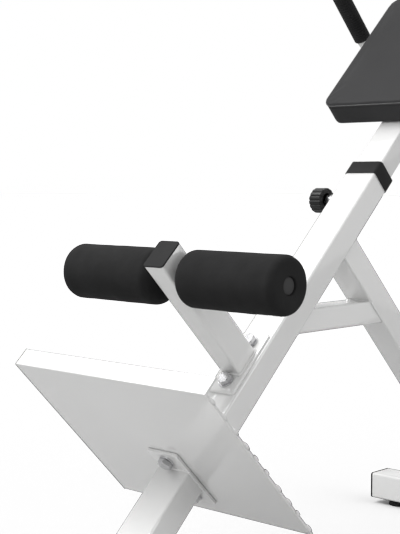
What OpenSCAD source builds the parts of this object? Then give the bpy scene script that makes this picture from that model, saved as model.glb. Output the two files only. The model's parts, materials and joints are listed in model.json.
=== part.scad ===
// Roman chair (45 degree back extension bench), in millimetres, +Z up.
// +X runs from the foot end to the pad end, +Y to the left of someone standing on the footplate.
// The origin is on the floor under the middle of the machine.
//
// Most of the machine is laid out in the beam's own frame, entered with on_beam():
//   x runs up the beam, from the back face of the footplate,
//   y is the machine's own +Y,
//   z stands out of the beam's upper face, towards the user's legs.

/* [Layout] */
// Slope of the main beam above the floor, in degrees
beam_angle = 44; // [42:1:46]
// Height of the beam's upper face above the floor, at the footplate
beam_start_z = 250; // [230:5:270]

/* [Main beam] */
// Width of the beam and of the lower tube
beam_w = 60; // [56:1:64]
// Depth of the beam and of the lower tube
beam_h = 45; // [43:1:50]
// Wall thickness of the beam
beam_wall = 2; // [1.5:0.5:2]
// Distance up the beam from the footplate to the end of its collar
beam_end = 629; // [620:1:640]
// Length of the black collar
collar_len = 27; // [20:1:35]
// How far the collar stands proud of the beam
collar_proud = 1.5; // [1:0.5:3]

/* [Sliding pad post] */
// Clearance between the beam's wall and the sliding tube, filled by the collar's liner
slide_gap = 1; // [0.8:0.1:1.2]
// Lower end of the sliding tube
inner_start = 440; // [430:1:450]
// Upper end of the sliding tube
inner_end = 1000; // [960:5:1010]
// Spacing of the height holes
hole_pitch = 30; // [25:1:30]
// Place of the locking pin on the beam
pin_at = 560; // [550:1:565]

/* [Pad] */
// Lower edge of the pad, measured up the beam from the footplate
pad_start = 728; // [728:1:760]
// Length of the pad along the beam
pad_len = 300; // [260:5:320]
// Width of the pad
pad_w = 260; // [230:5:300]
// Thickness of the pad
pad_h = 45; // [40:1:70]
// Radius of the pad's corners
pad_corner = 24; // [15:1:35]

/* [Footplate] */
// Width of the footplate
plate_w = 377; // [340:1:400]
// Heel edge of the footplate above the beam's upper face
plate_heel = 198; // [180:1:210]
// Toe edge of the footplate below the beam's upper face
plate_toe = 110; // [95:1:120]
// Thickness of the footplate
plate_t = 4; // [3:0.5:5]
// Depth of the turned-up heel edge
heel_lip = 29.4; // [20:0.2:35]

/* [Roller post and rollers] */
// Centre of the roller post, measured up the beam from the footplate
post_at = 192; // [185:1:200]
// Depth of the post along the beam
post_d = 48; // [40:1:50]
// Width of the post across the beam
post_w = 38; // [30:1:38]
// Height of the post's cap above the beam's upper face
post_h = 238; // [235:1:250]
// Height of the roller axle above the beam's upper face
axle_h = 190; // [180:1:195]
// Diameter of the foam rollers
roller_d = 82; // [75:1:90]
// Length of each foam roller
roller_len = 178; // [160:1:180]
// Distance from the machine's middle plane to each roller's inner end
roller_inner = 29; // [28:1:32]

/* [Rear frame and base] */
// Lower side of the rear leg where it meets the beam
leg_start = 455; // [445:1:460]
// Depth of the rear leg along the beam
leg_d = 45; // [40:1:50]
// Width of the rear leg and of the brace
leg_w = 50; // [40:1:56]
// Height of the brace's lower face above the start of the beam
brace_z = 169.5; // [160:0.5:180]
// Depth of the brace
brace_h = 37.5; // [30:0.5:40]
// Length of the two floor tubes
floor_tube_len = 480; // [440:10:520]
// Width of the two floor tubes
floor_tube_w = 60; // [50:1:65]
// Height of the two floor tubes
floor_tube_h = 50; // [40:1:55]
// Height of the rubber feet
foot_h = 12; // [8:1:20]

/* [Hidden] */
$fn = 48;

// Frame tubes
tube_corner = 4;
tube_wall = 2;
inner_w = beam_w - 2 * beam_wall - 2 * slide_gap;
inner_h = beam_h - 2 * beam_wall - 2 * slide_gap;
inner_wall = 2;
slide_fit = 0.1;
liner_start = 580;
collar_lip = 3;

// Base
saddle_t = 6;
saddle_x = 76;
saddle_y = 130;
saddle_bolt_y = 47;
saddle_top = foot_h + floor_tube_h + saddle_t;
foot_r = 20;
foot_y = floor_tube_len / 2 - 45;
cap_t = 3;

// Places along the floor, measured from the start of the beam
leg_mid = leg_start + leg_d / 2;
lower_reach = (saddle_top - beam_start_z + beam_h / 2 * cos(beam_angle)) / sin(beam_angle);
leg_reach = (saddle_top - beam_start_z - leg_mid * sin(beam_angle)) / cos(beam_angle);
front_rel = lower_reach * cos(beam_angle) + beam_h / 2 * sin(beam_angle);
rear_rel = leg_mid * cos(beam_angle) - leg_reach * sin(beam_angle);
beam_start_x = -(front_rel + rear_rel) / 2;
front_x = beam_start_x + front_rel;
rear_x = beam_start_x + rear_rel;

// Bolted flanges at the footplate
flange_top = 37;
flange_bottom = -82;
lower_flange_t = 4;
beam_flange_t = 6;
flange_bolts_z = [18.5, -63.5];
m12_r = 6;
m12_hex_r = 19 / 2 / cos(30);
m12_head = 7.5;
m12_nut = 10;
m12_washer_r = 12;
m12_washer_t = 2.5;
m10_r = 5;
m10_hex_r = 17 / 2 / cos(30);
m10_head = 6.4;
m10_nut = 8;
bolt_clear = 0.5;

// Roller post
post_flange_t = 4;
post_flange_len = 116;
post_flange_w = 51;
post_bolt_x = [154, 229];
post_cap_t = 2.5;
axle_r = 9.5;
core_r = 12.5;
run_fit = 0.06;
roller_edge = 11;
spacer_len = 9.5;
plug_t = 3;
end_recess = 8;
axle_end = roller_inner + roller_len - end_recess;

// Locking pin, parked in its pulled-out position
pin_r = 5;
pin_tip = inner_w / 2 + 0.5;
pin_fit = 0.05;
housing_r = 10;
housing_end = 53;
chamber_r = 7.5;
chamber = [33, 50.5];
shoulder = [43.2, 44.7];
knob_r = 20.8;
knob_from = 56;
knob_to = 79;
knob_flutes = 16;
knob_cup_r = 12;
knob_cup_depth = 15;
spring_r = 6.2;
spring_wire = 0.42;
spring_turns = 4;

// Pad and handlebar
bracket_t = slide_gap + beam_wall;
bracket_x = [760, 960];
bracket_w = 160;
board_t = 12;
board_inset = 8;
pad_screw_x = [785, 935];
pad_screw_y = 60;
bar_at = 985;
bar_r = 12.7;
bar_wall = 2;
bar_bend = 45;
bar_side = 205;
bar_top = 95;
bar_mid_z = -beam_h + beam_wall + slide_gap - bar_r;
grip_r = 16;
grip_len = 105;

// ---- shared shapes ----

// Enters the beam's own frame.
module on_beam() {
  translate([beam_start_x, 0, beam_start_z])
    rotate([0, -beam_angle, 0])
      children();
}

// Flat rectangle with round corners, centred.
module rounded_rect(w, h, r) {
  square([w - 2 * r, h], center = true);
  square([w, h - 2 * r], center = true);
  for (sx = [-1, 1], sy = [-1, 1])
    translate([sx * (w / 2 - r), sy * (h / 2 - r)])
      circle(r);
}

// Wall of a rectangular tube.
module tube_wall_shape(w, h, wall) {
  difference() {
    rounded_rect(w, h, tube_corner);
    rounded_rect(w - 2 * wall, h - 2 * wall, tube_corner - wall + 0.5);
  }
}

// Runs a flat shape up the beam: its x becomes y, its y becomes z.
module along_x(from, to) {
  translate([from, 0, 0])
    rotate([90, 0, 90])
      linear_extrude(to - from)
        children();
}

// Runs a flat shape upwards.
module along_z(from, to) {
  translate([0, 0, from])
    linear_extrude(to - from)
      children();
}

// Round bar along y.
module bar_y(from, to, r) {
  translate([0, from, 0])
    rotate([-90, 0, 0])
      cylinder(r = r, h = to - from);
}

// Hexagon bolt along z, its head's bearing face at z = 0 and its shank pointing down.
module hex_bolt(r, hex_r, head, length) {
  cylinder(r = hex_r, h = head, $fn = 6);
  translate([0, 0, -length])
    cylinder(r = r, h = length);
}

// Hexagon nut on the floor of its frame.
module hex_nut(r, hex_r, h) {
  difference() {
    cylinder(r = hex_r, h = h, $fn = 6);
    translate([0, 0, -1])
      cylinder(r = r, h = h + 2);
  }
}

// Keeps only what stands above a saddle plate.
module above_saddles() {
  difference() {
    children();
    translate([-1000, -500, saddle_top - 1000])
      cube([2000, 1000, 1000]);
  }
}

// ---- base ----

module floor_tube(x) {
  color("white")
    difference() {
      translate([x, floor_tube_len / 2, foot_h + floor_tube_h / 2])
        rotate([90, 0, 0])
          linear_extrude(floor_tube_len)
            tube_wall_shape(floor_tube_w, floor_tube_h, tube_wall);
      for (s = [-1, 1]) {
        translate([x, s * foot_y, foot_h - 1])
          cylinder(r = 4, h = tube_wall + 2);
        translate([x, s * saddle_bolt_y, foot_h + floor_tube_h - tube_wall - 1])
          cylinder(r = m10_r + bolt_clear, h = tube_wall + 2);
      }
    }
}
module front_floor_tube() { floor_tube(front_x); }
module rear_floor_tube() { floor_tube(rear_x); }

// Plug of a floor tube: side is 1 on the left and -1 on the right.
module end_cap(x, side) {
  plug_len = 18;
  color("black")
    translate([x, side * floor_tube_len / 2, foot_h + floor_tube_h / 2])
      rotate([-90 * side, 0, 0]) {
        along_z(0, cap_t)
          rounded_rect(floor_tube_w, floor_tube_h, tube_corner);
        along_z(-plug_len, 0)
          difference() {
            rounded_rect(floor_tube_w - 2 * tube_wall, floor_tube_h - 2 * tube_wall, 2.5);
            rounded_rect(floor_tube_w - 2 * tube_wall - 5, floor_tube_h - 2 * tube_wall - 5, 1.5);
          }
      }
}
module front_left_end_cap() { end_cap(front_x, 1); }
module front_right_end_cap() { end_cap(front_x, -1); }
module rear_left_end_cap() { end_cap(rear_x, 1); }
module rear_right_end_cap() { end_cap(rear_x, -1); }

module rubber_foot(x, side) {
  color("dimgray")
    translate([x, side * foot_y, 0]) {
      cylinder(r1 = foot_r, r2 = foot_r - 2, h = foot_h);
      translate([0, 0, foot_h])
        cylinder(r = 4, h = 14);
    }
}
module front_left_foot() { rubber_foot(front_x, 1); }
module front_right_foot() { rubber_foot(front_x, -1); }
module rear_left_foot() { rubber_foot(rear_x, 1); }
module rear_right_foot() { rubber_foot(rear_x, -1); }

module saddle(x) {
  color("white")
    translate([x, 0, saddle_top - saddle_t])
      difference() {
        along_z(0, saddle_t)
          rounded_rect(saddle_x, saddle_y, 8);
        for (s = [-1, 1])
          translate([0, s * saddle_bolt_y, -1])
            cylinder(r = m10_r + bolt_clear, h = saddle_t + 2);
      }
}
module front_saddle() { saddle(front_x); }
module rear_saddle() { saddle(rear_x); }

module saddle_bolts() {
  color("silver")
    for (x = [front_x, rear_x], s = [-1, 1])
      translate([x, s * saddle_bolt_y, saddle_top])
        hex_bolt(m10_r, m10_hex_r, m10_head, saddle_t + tube_wall + m10_nut + 2);
}

module saddle_nuts() {
  color("silver")
    for (x = [front_x, rear_x], s = [-1, 1])
      translate([x, s * saddle_bolt_y, saddle_top - saddle_t - tube_wall - m10_nut])
        hex_nut(m10_r, m10_hex_r, m10_nut);
}

// ---- foot end ----

module lower_tube() {
  color("white")
    above_saddles()
      on_beam()
        translate([0, 0, -beam_h / 2])
          along_x(lower_reach - beam_h, -lower_flange_t)
            tube_wall_shape(beam_w, beam_h, tube_wall);
}

// Flange plate across the beam, with its two bolt holes.
module end_flange(from, to) {
  color("white")
    difference() {
      translate([0, 0, (flange_top + flange_bottom) / 2])
        along_x(from, to)
          rounded_rect(beam_w, flange_top - flange_bottom, 4);
      for (z = flange_bolts_z)
        translate([from - 1, 0, z])
          rotate([0, 90, 0])
            cylinder(r = m12_r + bolt_clear, h = to - from + 2);
    }
}
module lower_flange() { on_beam() end_flange(-lower_flange_t, 0); }
module beam_flange() { on_beam() end_flange(plate_t, plate_t + beam_flange_t); }

module footplate() {
  color("white")
    on_beam()
      difference() {
        union() {
          translate([0, -plate_w / 2, -plate_toe])
            cube([plate_t, plate_w, plate_toe + plate_heel]);
          translate([0, -plate_w / 2, plate_heel - plate_t])
            cube([heel_lip, plate_w, plate_t]);
        }
        for (z = flange_bolts_z)
          translate([-1, 0, z])
            rotate([0, 90, 0])
              cylinder(r = m12_r + bolt_clear, h = plate_t + 2);
      }
}

// Turns a bolt to point up the beam from the lower flange's washers.
module at_flange_bolts(x) {
  on_beam()
    for (z = flange_bolts_z)
      translate([x, 0, z])
        rotate([0, -90, 0])
          children();
}

module flange_bolts() {
  grip = lower_flange_t + plate_t + beam_flange_t + 2 * m12_washer_t;
  color("silver")
    at_flange_bolts(-lower_flange_t - m12_washer_t)
      hex_bolt(m12_r, m12_hex_r, m12_head, grip + m12_nut + 3);
}

module flange_washers() {
  color("silver")
    for (x = [-lower_flange_t, plate_t + beam_flange_t + m12_washer_t])
      at_flange_bolts(x)
        difference() {
          cylinder(r = m12_washer_r, h = m12_washer_t);
          translate([0, 0, -1])
            cylinder(r = m12_r + 0.2, h = m12_washer_t + 2);
        }
}

module flange_nuts() {
  color("silver")
    at_flange_bolts(plate_t + beam_flange_t + m12_washer_t + m12_nut)
      hex_nut(m12_r, m12_hex_r, m12_nut);
}

// ---- beam and rear frame ----

module main_beam() {
  color("white")
    on_beam()
      difference() {
        translate([0, 0, -beam_h / 2])
          along_x(plate_t + beam_flange_t, beam_end - collar_lip)
            tube_wall_shape(beam_w, beam_h, beam_wall);
        for (x = post_bolt_x)
          translate([x, 0, -beam_wall - 1])
            cylinder(r = m12_r + bolt_clear, h = beam_wall + 2);
        translate([pin_at, 0, -beam_h / 2])
          bar_y(beam_w / 2 - beam_wall - 1, beam_w / 2 + 1, pin_r + 0.3);
      }
}

module rear_leg() {
  color("white")
    above_saddles()
      on_beam()
        translate([leg_mid, 0, 0])
          along_z(leg_reach - leg_d, -beam_h)
            tube_wall_shape(leg_d, leg_w, tube_wall);
}

module brace() {
  reach = 250;
  color("white")
    difference() {
      translate([beam_start_x + reach / 2, 0, beam_start_z + brace_z + brace_h / 2])
        along_x(0, 1.6 * reach)
          tube_wall_shape(leg_w, brace_h, tube_wall);
      on_beam() {
        translate([0, -leg_w, -beam_h])
          cube([800, 2 * leg_w, 800]);
        translate([leg_start, -leg_w, -800])
          cube([800, 2 * leg_w, 800]);
      }
    }
}

// ---- roller post ----

module post_flange() {
  color("white")
    on_beam()
      difference() {
        translate([post_at - 1, 0, 0])
          along_z(0, post_flange_t)
            rounded_rect(post_flange_len, post_flange_w, 5);
        for (x = post_bolt_x)
          translate([x, 0, -1])
            cylinder(r = m12_r + bolt_clear, h = post_flange_t + 2);
      }
}

module roller_post() {
  color("white")
    on_beam()
      difference() {
        translate([post_at, 0, 0])
          along_z(post_flange_t, post_h - post_cap_t)
            tube_wall_shape(post_d, post_w, tube_wall);
        translate([post_at - 1, 0, axle_h])
          bar_y(-post_w, post_w, axle_r + run_fit);
      }
}

module post_cap() {
  color("black")
    on_beam()
      translate([post_at, 0, 0]) {
        along_z(post_h - post_cap_t, post_h)
          rounded_rect(post_d + 1, post_w + 1, 5);
        along_z(post_h - post_cap_t - 14, post_h - post_cap_t)
          difference() {
            rounded_rect(post_d - 2 * tube_wall, post_w - 2 * tube_wall, 2.5);
            rounded_rect(post_d - 2 * tube_wall - 5, post_w - 2 * tube_wall - 5, 1.5);
          }
      }
}

module at_post_bolts(z) {
  on_beam()
    for (x = post_bolt_x)
      translate([x, 0, z])
        children();
}

module post_bolts() {
  color("silver")
    at_post_bolts(post_flange_t + m12_washer_t)
      rotate(10)
        hex_bolt(m12_r, m12_hex_r, m12_head, post_flange_t + m12_washer_t + beam_wall + m12_nut + 2);
}

module post_washers() {
  color("silver")
    at_post_bolts(post_flange_t)
      difference() {
        cylinder(r = m12_washer_r, h = m12_washer_t);
        translate([0, 0, -1])
          cylinder(r = m12_r + 0.2, h = m12_washer_t + 2);
      }
}

module post_nuts() {
  color("silver")
    at_post_bolts(-beam_wall - m12_nut)
      hex_nut(m12_r, m12_hex_r, m12_nut);
}

// Enters the frame of the roller axle: side is 1 on the left and -1 on the right.
module on_axle(side) {
  on_beam()
    translate([post_at - 1, 0, axle_h])
      rotate([-90 * side, 0, 0])
        children();
}

// Round sleeve along the axle.
module sleeve(from, to, inner_r, outer_r) {
  translate([0, 0, from])
    difference() {
      cylinder(r = outer_r, h = to - from);
      translate([0, 0, -1])
        cylinder(r = inner_r, h = to - from + 2);
    }
}

module roller_axle() {
  color("silver")
    on_beam()
      translate([post_at - 1, 0, axle_h])
        bar_y(-axle_end, axle_end, axle_r);
}

module axle_spacer(side) {
  color("black")
    on_axle(side)
      sleeve(post_w / 2, post_w / 2 + spacer_len, axle_r, core_r);
}
module left_spacer() { axle_spacer(1); }
module right_spacer() { axle_spacer(-1); }

// Push-on stop that covers the end of the axle.
module axle_plug(side) {
  color("dimgray")
    on_axle(side)
      translate([0, 0, axle_end])
        rotate_extrude()
          union() {
            square([core_r - 2, plug_t]);
            square([core_r - 1, plug_t - 1]);
          }
}
module left_axle_plug() { axle_plug(1); }
module right_axle_plug() { axle_plug(-1); }

module roller_core(side) {
  color("dimgray")
    on_axle(side)
      sleeve(roller_inner, axle_end - 1, axle_r + run_fit, core_r);
}
module left_roller_core() { roller_core(1); }
module right_roller_core() { roller_core(-1); }

module roller_foam(side) {
  outer = roller_d / 2;
  color("black")
    on_axle(side)
      translate([0, 0, roller_inner])
        rotate_extrude($fn = 96)
          union() {
            translate([core_r, 0])
              square([outer - core_r - roller_edge, roller_len]);
            translate([core_r, roller_edge])
              square([outer - core_r, roller_len - 2 * roller_edge]);
            for (z = [roller_edge, roller_len - roller_edge])
              translate([outer - roller_edge, z])
                circle(roller_edge);
          }
}
module left_roller_foam() { roller_foam(1); }
module right_roller_foam() { roller_foam(-1); }

// ---- slide and lock ----

module guide_collar() {
  color("black")
    on_beam()
      translate([0, 0, -beam_h / 2])
        difference() {
          union() {
            along_x(beam_end - collar_len, beam_end)
              rounded_rect(beam_w + 2 * collar_proud, beam_h + 2 * collar_proud, 6);
            along_x(liner_start, beam_end)
              rounded_rect(beam_w - 2 * beam_wall, beam_h - 2 * beam_wall, 2.5);
          }
          along_x(beam_end - collar_len - 1, beam_end - collar_lip)
            difference() {
              rounded_rect(beam_w, beam_h, tube_corner);
              rounded_rect(beam_w - 2 * beam_wall, beam_h - 2 * beam_wall, 2.5);
            }
          along_x(liner_start - 1, beam_end + 1)
            rounded_rect(inner_w + 2 * slide_fit, inner_h + 2 * slide_fit, tube_corner);
        }
}

// Enters the locking pin's frame, with z pointing out of the beam's left side.
module on_pin() {
  on_beam()
    translate([pin_at, 0, -beam_h / 2])
      rotate([-90, 0, 0])
        children();
}

module pin_housing() {
  color("silver")
    on_pin()
      difference() {
        translate([0, 0, beam_w / 2])
          cylinder(r = housing_r, h = housing_end - beam_w / 2);
        translate([0, 0, beam_w / 2 - 1])
          cylinder(r = pin_r + pin_fit, h = housing_end);
        translate([0, 0, chamber[0]])
          cylinder(r = chamber_r, h = chamber[1] - chamber[0]);
      }
}

// Point on the spring's wire: turn counts its coils, a runs round the wire.
function spring_point(turn, a) =
  let (reach = spring_r + spring_wire * cos(a))
  let (rise = chamber[1] - shoulder[1] - 2 * spring_wire - 0.4)
  [
    reach * cos(360 * turn),
    reach * sin(360 * turn),
    shoulder[1] + spring_wire + 0.2 + rise * turn / spring_turns + spring_wire * sin(a)
  ];

module pin_spring() {
  steps = 16 * spring_turns;
  sides = 8;
  points = [
    for (i = [0:steps], j = [0:sides - 1])
      spring_point(i * spring_turns / steps, 360 * j / sides)
  ];
  walls = [
    for (i = [0:steps - 1], j = [0:sides - 1])
      [i * sides + j, i * sides + (j + 1) % sides,
       (i + 1) * sides + (j + 1) % sides, (i + 1) * sides + j]
  ];
  ends = [[for (j = [sides - 1:-1:0]) j], [for (j = [0:sides - 1]) steps * sides + j]];
  color("gray")
    on_pin()
      polyhedron(points = points, faces = concat(walls, ends), convexity = 10);
}

module lock_pin() {
  color("silver")
    on_pin() {
      translate([0, 0, pin_tip])
        cylinder(r = pin_r, h = knob_to - 4 - pin_tip);
      translate([0, 0, shoulder[0]])
        cylinder(r = chamber_r - 0.2, h = shoulder[1] - shoulder[0]);
    }
}

module pin_knob() {
  color("black")
    on_pin()
      difference() {
        translate([0, 0, knob_from])
          rotate_extrude()
            union() {
              square([knob_r - 2, knob_to - knob_from]);
              translate([0, 1])
                square([knob_r, knob_to - knob_from - 3]);
              translate([knob_r - 2, knob_to - knob_from - 2])
                circle(2);
            }
        for (i = [0:knob_flutes - 1])
          rotate(i * 360 / knob_flutes)
            translate([knob_r + 0.9, 0, knob_from - 1])
              cylinder(r = 2.4, h = knob_to - knob_from + 2, $fn = 24);
        translate([0, 0, knob_from - 1])
          cylinder(r = knob_cup_r, h = knob_cup_depth + 1);
        translate([0, 0, knob_from])
          cylinder(r = pin_r, h = knob_to - 4 - knob_from);
      }
}

// ---- pad post ----

module inner_tube() {
  color("white")
    on_beam()
      difference() {
        translate([0, 0, -beam_h / 2])
          along_x(inner_start, inner_end)
            tube_wall_shape(inner_w, inner_h, inner_wall);
        for (i = [-2:3])
          translate([pin_at + i * hole_pitch, 0, -beam_h / 2])
            bar_y(inner_w / 2 - inner_wall - 1, inner_w / 2 + 1, pin_r + 0.4);
      }
}

// Plastic end of the sliding tube: a flange on its end and a plug in its bore.
module tube_plug(at, away, w, h, t) {
  plug = 15;
  translate([at, 0, -beam_h / 2])
    rotate([90, 0, away > 0 ? 90 : -90]) {
      along_z(0, t)
        rounded_rect(w, h, 2.5);
      along_z(-plug, 0)
        difference() {
          rounded_rect(inner_w - 2 * inner_wall, inner_h - 2 * inner_wall, 2.5);
          rounded_rect(inner_w - 2 * inner_wall - 5, inner_h - 2 * inner_wall - 5, 1.5);
        }
    }
}

module inner_tube_shoe() {
  w = beam_w - 2 * beam_wall - 2 * slide_fit;
  h = beam_h - 2 * beam_wall - 2 * slide_fit;
  color("dimgray")
    on_beam()
      tube_plug(inner_start, -1, w, h, 5);
}

module inner_tube_cap() {
  color("black")
    on_beam()
      tube_plug(inner_end, 1, inner_w, inner_h, 3);
}

module pad_bracket() {
  color("white")
    on_beam()
      difference() {
        translate([(bracket_x[0] + bracket_x[1]) / 2, 0, 0])
          along_z(-bracket_t, 0)
            rounded_rect(bracket_x[1] - bracket_x[0], bracket_w, 10);
        for (x = pad_screw_x, s = [-1, 1])
          translate([x, s * pad_screw_y, -bracket_t - 1])
            cylinder(r = 4.5, h = bracket_t + 2);
      }
}

module pad_outline(grow) {
  translate([pad_start + pad_len / 2, 0])
    rounded_rect(pad_len + 2 * grow, pad_w + 2 * grow, pad_corner + grow);
}

module pad_board() {
  color("burlywood")
    on_beam()
      difference() {
        along_z(0, board_t)
          pad_outline(-board_inset);
        for (x = pad_screw_x, s = [-1, 1])
          translate([x, s * pad_screw_y, -1])
            cylinder(r = 4, h = board_t + 2);
      }
}

module pad_cushion() {
  color("black")
    on_beam()
      difference() {
        along_z(0, pad_h)
          pad_outline(0);
        along_z(-1, board_t)
          pad_outline(-board_inset);
      }
}

module pad_screws() {
  color("silver")
    on_beam()
      for (x = pad_screw_x, s = [-1, 1])
        translate([x, s * pad_screw_y, -bracket_t])
          mirror([0, 0, 1])
            hex_bolt(4, 13 / 2 / cos(30), 5.3, board_t + bracket_t - 1);
}

// Enters the handlebar's frame: y across, z out of the beam's face.
module on_bar() {
  on_beam()
    translate([bar_at, 0, bar_mid_z])
      children();
}

module handlebar() {
  straight = bar_side - bar_bend;
  color("white")
    on_bar() {
      difference() {
        bar_y(-straight, straight, bar_r);
        bar_y(-straight - 1, straight + 1, bar_r - bar_wall);
      }
      for (side = [-1, 1])
        scale([1, side, 1]) {
          translate([0, straight, bar_bend])
            rotate([0, 90, 0])
              rotate_extrude(angle = 90)
                translate([bar_bend, 0])
                  difference() {
                    circle(bar_r);
                    circle(bar_r - bar_wall);
                  }
          translate([0, bar_side, 0])
            sleeve(bar_bend, bar_top - bar_mid_z, bar_r - bar_wall, bar_r);
        }
    }
}

module hand_grip(side) {
  top = bar_top - bar_mid_z;
  color("black")
    on_bar()
      translate([0, side * bar_side, top - grip_len])
        rotate_extrude()
          union() {
            translate([bar_r, 0])
              square([grip_r - bar_r - 1.5, grip_len]);
            translate([bar_r, 1.5])
              square([grip_r - bar_r, grip_len - 3]);
            for (z = [1.5, grip_len - 1.5])
              translate([grip_r - 1.5, z])
                circle(1.5);
          }
}
module left_grip() { hand_grip(1); }
module right_grip() { hand_grip(-1); }

module bar_cap(side) {
  color("black")
    on_bar()
      translate([0, side * bar_side, bar_top - bar_mid_z]) {
        cylinder(r = grip_r - 1, h = 4);
        translate([0, 0, -12])
          cylinder(r = bar_r - bar_wall, h = 12);
      }
}
module left_bar_cap() { bar_cap(1); }
module right_bar_cap() { bar_cap(-1); }

// ---- nodes ----

front_floor_tube();
rear_floor_tube();
front_left_end_cap();
front_right_end_cap();
rear_left_end_cap();
rear_right_end_cap();
front_left_foot();
front_right_foot();
rear_left_foot();
rear_right_foot();
front_saddle();
rear_saddle();
saddle_bolts();
saddle_nuts();
lower_tube();
lower_flange();
footplate();
flange_bolts();
flange_washers();
flange_nuts();
beam_flange();
main_beam();
rear_leg();
brace();
post_flange();
roller_post();
post_cap();
post_bolts();
post_washers();
post_nuts();
roller_axle();
left_spacer();
right_spacer();
left_axle_plug();
right_axle_plug();
left_roller_core();
right_roller_core();
left_roller_foam();
right_roller_foam();
guide_collar();
pin_housing();
pin_spring();
lock_pin();
pin_knob();
inner_tube();
inner_tube_shoe();
inner_tube_cap();
pad_bracket();
pad_board();
pad_cushion();
pad_screws();
handlebar();
left_grip();
right_grip();
left_bar_cap();
right_bar_cap();
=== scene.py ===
"""Looks of a roman chair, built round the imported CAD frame.

Sizes are in millimetres and are turned into Blender's metres where points are made. Places come
from the frame: the beam's own axes are read from the pad slide's joint and the roller axle's box.
"""

import json
import logging
import math
from collections.abc import Callable, Sequence
from dataclasses import dataclass
from enum import Enum, StrEnum

import bmesh
import bpy
from mathutils import Matrix, Vector, noise
from mathutils.bvhtree import BVHTree


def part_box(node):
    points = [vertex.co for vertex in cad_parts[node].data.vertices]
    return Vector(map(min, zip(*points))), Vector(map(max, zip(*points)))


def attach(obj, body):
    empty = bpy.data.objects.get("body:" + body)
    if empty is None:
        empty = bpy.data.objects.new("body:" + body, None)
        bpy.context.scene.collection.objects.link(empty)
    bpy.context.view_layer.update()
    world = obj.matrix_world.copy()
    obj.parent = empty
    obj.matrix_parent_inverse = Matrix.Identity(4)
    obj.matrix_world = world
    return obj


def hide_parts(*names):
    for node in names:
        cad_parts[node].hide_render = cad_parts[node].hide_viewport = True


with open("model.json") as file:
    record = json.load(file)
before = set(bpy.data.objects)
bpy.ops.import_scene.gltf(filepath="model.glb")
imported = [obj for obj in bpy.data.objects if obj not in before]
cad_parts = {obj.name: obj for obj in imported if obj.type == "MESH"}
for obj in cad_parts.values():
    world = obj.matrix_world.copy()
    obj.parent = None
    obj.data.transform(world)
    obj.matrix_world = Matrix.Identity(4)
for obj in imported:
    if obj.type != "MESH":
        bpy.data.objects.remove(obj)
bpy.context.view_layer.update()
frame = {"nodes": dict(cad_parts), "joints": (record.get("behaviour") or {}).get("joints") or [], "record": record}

LOG = logging.getLogger("roman_chair")
MM = 0.001
SLOT_OF = {part["node"]: part["material_slot"] for part in frame["record"]["subparts"]}
BODIES = frame["record"]["behaviour"]["bodies"]
BODY_OF = {node: body for body, nodes in BODIES.items() for node in nodes}
Ring = list[Vector]
Spot = tuple[Vector, Vector, float]


class Body(StrEnum):
    """The rigid bodies that pieces ride on."""

    FRAME = "frame"
    CARRIAGE = "pad_carriage"
    PIN = "locking_pin"


class Side(Enum):
    """The two sides of the machine; the value is the sign of y."""

    LEFT = 1
    RIGHT = -1

    @property
    def word(self) -> str:
        """The side's name, as CAD nodes and bodies use it."""
        return self.name.lower()


# ---------------------------------------------------------------- places


@dataclass(frozen=True)
class BeamAxes:
    """The main beam's own axes: x up the beam, y to the machine's left, z out of its upper face."""

    matrix: Matrix

    @classmethod
    def from_frame(cls, axle_up: float, axle_out: float) -> "BeamAxes":
        """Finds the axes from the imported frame.

        Args:
            axle_up: the roller axle's place up the beam, in mm.
            axle_out: the roller axle's height above the beam's face, in mm.

        Returns:
            The beam's axes, with their origin at the back face of the footplate.
        """
        slide = next(j for j in frame["joints"] if j["name"] == "pad_height")
        slope = math.atan2(slide["axis"][2], slide["axis"][0])
        turn = Matrix.Rotation(-slope, 4, "Y")
        low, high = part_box("roller_axle")
        start = (low + high) / 2 - turn @ Vector((axle_up, 0, axle_out)) * MM
        return cls(Matrix.Translation(start) @ turn)

    def at(self, up: float, across: float = 0.0, out: float = 0.0) -> Vector:
        """The world point at these beam coordinates, in mm."""
        return self.matrix @ (Vector((up, across, out)) * MM)

    def along(self, up: float, across: float, out: float) -> Vector:
        """The world direction of a beam vector."""
        return (self.matrix.to_3x3() @ Vector((up, across, out))).normalized()

    def placed(self, up: float, across: float, out: float, turn: Matrix | None = None) -> Matrix:
        """The matrix at these beam coordinates, turned by turn within the beam's axes."""
        spot = Matrix.Translation(Vector((up, across, out)) * MM)
        return self.matrix @ spot @ (turn or Matrix.Identity(4))


AXLE_UP, AXLE_OUT = 191.0, 190.0
BEAM = BeamAxes.from_frame(AXLE_UP, AXLE_OUT)


# ---------------------------------------------------------------- node trees


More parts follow.
